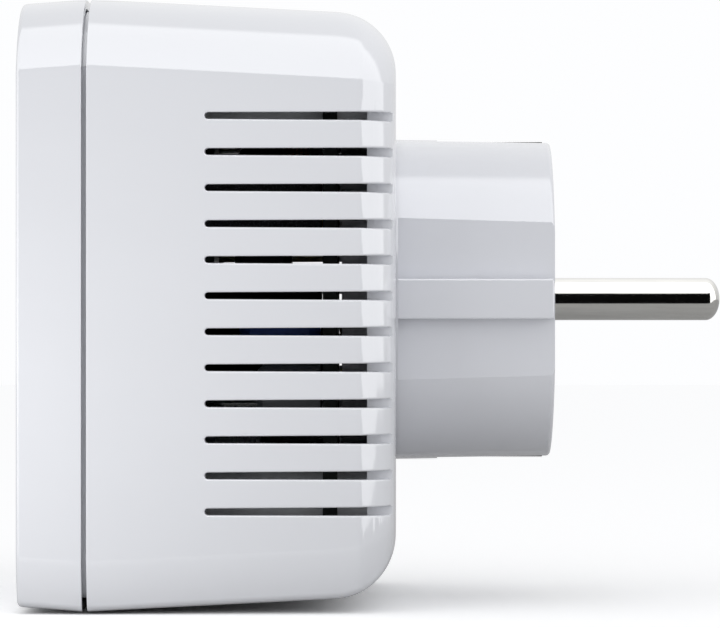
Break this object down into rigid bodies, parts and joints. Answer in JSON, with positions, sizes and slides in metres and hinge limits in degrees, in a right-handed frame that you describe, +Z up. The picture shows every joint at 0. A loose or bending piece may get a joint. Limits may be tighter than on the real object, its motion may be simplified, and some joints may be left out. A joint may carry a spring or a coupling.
{
  "type": "powerline network adapter",
  "caption": "Compact plug-in mains adapter in a glossy white case with side vents, a round earthed wall plug, a push button and a network socket underneath.",
  "frame": {"origin": "centre of the plug's face, midway between the two pins", "axes": "+Y out of the plug into the wall socket, +Z up, X across the adapter; the front cover looks along -Y"},
  "size_m": [0.062, 0.0784, 0.0676],
  "materials": {
    "case_plastic": "glossy white moulded plastic",
    "plug_plastic": "satin white moulded plastic",
    "grey_plastic": "fine matt moulded plastic",
    "black_plastic": "matt black moulded plastic",
    "light_pipe": "clear frosted plastic",
    "nickel_plate": "polished nickel plate",
    "screw_steel": "zinc-plated steel",
    "tin_plate": "tinned sheet steel",
    "gold_plate": "gold-plated spring contacts",
    "aluminium": "extruded aluminium",
    "circuit_board": "green solder mask on glass laminate",
    "black_circuit_board": "black solder mask on glass laminate",
    "ferrite": "sintered dark grey ferrite",
    "yellow_tape": "yellow film and tape",
    "black_tape": "black polyester tape",
    "copper_wire": "enamelled copper wire",
    "blue_coat": "blue epoxy coating",
    "black_sleeve": "shrunk black sleeve",
    "label_film": "blank silver-grey film",
    "silicone_pad": "soft silicone sheet",
    "brown_insulation": "brown wire insulation",
    "blue_insulation": "blue wire insulation",
    "green_insulation": "green-yellow wire insulation"
  },
  "bodies": {
    "case": {"front_cover": "case_plastic", "rear_housing": "case_plastic", "type_label": "label_film", "case_screw_1": "screw_steel", "case_screw_2": "screw_steel", "case_screw_3": "screw_steel", "case_screw_4": "screw_steel", "plug_body": "plug_plastic", "pin_carrier": "grey_plastic", "live_pin": "nickel_plate", "neutral_pin": "nickel_plate", "earth_bracket": "nickel_plate", "earth_socket": "nickel_plate", "live_wire": "brown_insulation", "neutral_wire": "blue_insulation", "earth_wire": "green_insulation", "pairing_switch_body": "black_plastic", "reset_switch_body": "black_plastic", "light_pipe_power": "light_pipe", "light_pipe_link": "light_pipe", "light_pipe_network": "light_pipe", "status_led_power": "light_pipe", "status_led_link": "light_pipe", "status_led_network": "light_pipe", "ethernet_jack_housing": "black_plastic", "ethernet_jack_shield": "tin_plate", "ethernet_jack_contacts": "gold_plate", "main_board": "circuit_board", "network_processor": "black_plastic", "memory_chip": "black_plastic", "clock_crystal": "tin_plate", "ethernet_magnetics": "black_plastic", "regulator_inductor": "ferrite", "thermal_pad": "silicone_pad", "heat_sink": "aluminium", "power_board": "black_circuit_board", "bulk_capacitor": "black_sleeve", "output_capacitor": "black_sleeve", "mains_fuse": "grey_plastic", "suppression_capacitor": "yellow_tape", "surge_varistor": "blue_coat", "coupling_transformer": "ferrite", "transformer_core": "ferrite", "transformer_winding": "black_tape", "common_mode_choke": "copper_wire", "board_header": "black_plastic", "board_screw_1": "screw_steel", "board_screw_2": "screw_steel"},
    "pairing_button": {"pairing_button": "case_plastic"},
    "pairing_plunger": {"pairing_switch_plunger": "black_plastic"},
    "reset_button": {"reset_button": "grey_plastic"},
    "reset_plunger": {"reset_switch_plunger": "black_plastic"}
  },
  "joints": [
    {"name": "pairing_button_press", "type": "slide", "parent": "case", "child": "pairing_button", "axis": [0, 1, 0], "range_m": [0, 0.00055], "stiffness_N_per_m": 1500, "springref_m": -0.0003},
    {"name": "pairing_plunger_press", "type": "slide", "parent": "case", "child": "pairing_plunger", "axis": [0, 1, 0], "range_m": [0, 0.00028]},
    {"name": "reset_button_press", "type": "slide", "parent": "case", "child": "reset_button", "axis": [0, 0, 1], "range_m": [0, 0.0005], "stiffness_N_per_m": 1500, "springref_m": -0.0003},
    {"name": "reset_plunger_press", "type": "slide", "parent": "case", "child": "reset_plunger", "axis": [0, 0, 1], "range_m": [0, 0.00026]}
  ],
  "couplings": [
    {"joint": "pairing_plunger_press", "follows": "pairing_button_press", "ratio": 0.5},
    {"joint": "reset_plunger_press", "follows": "reset_button_press", "ratio": 0.5}
  ]
}
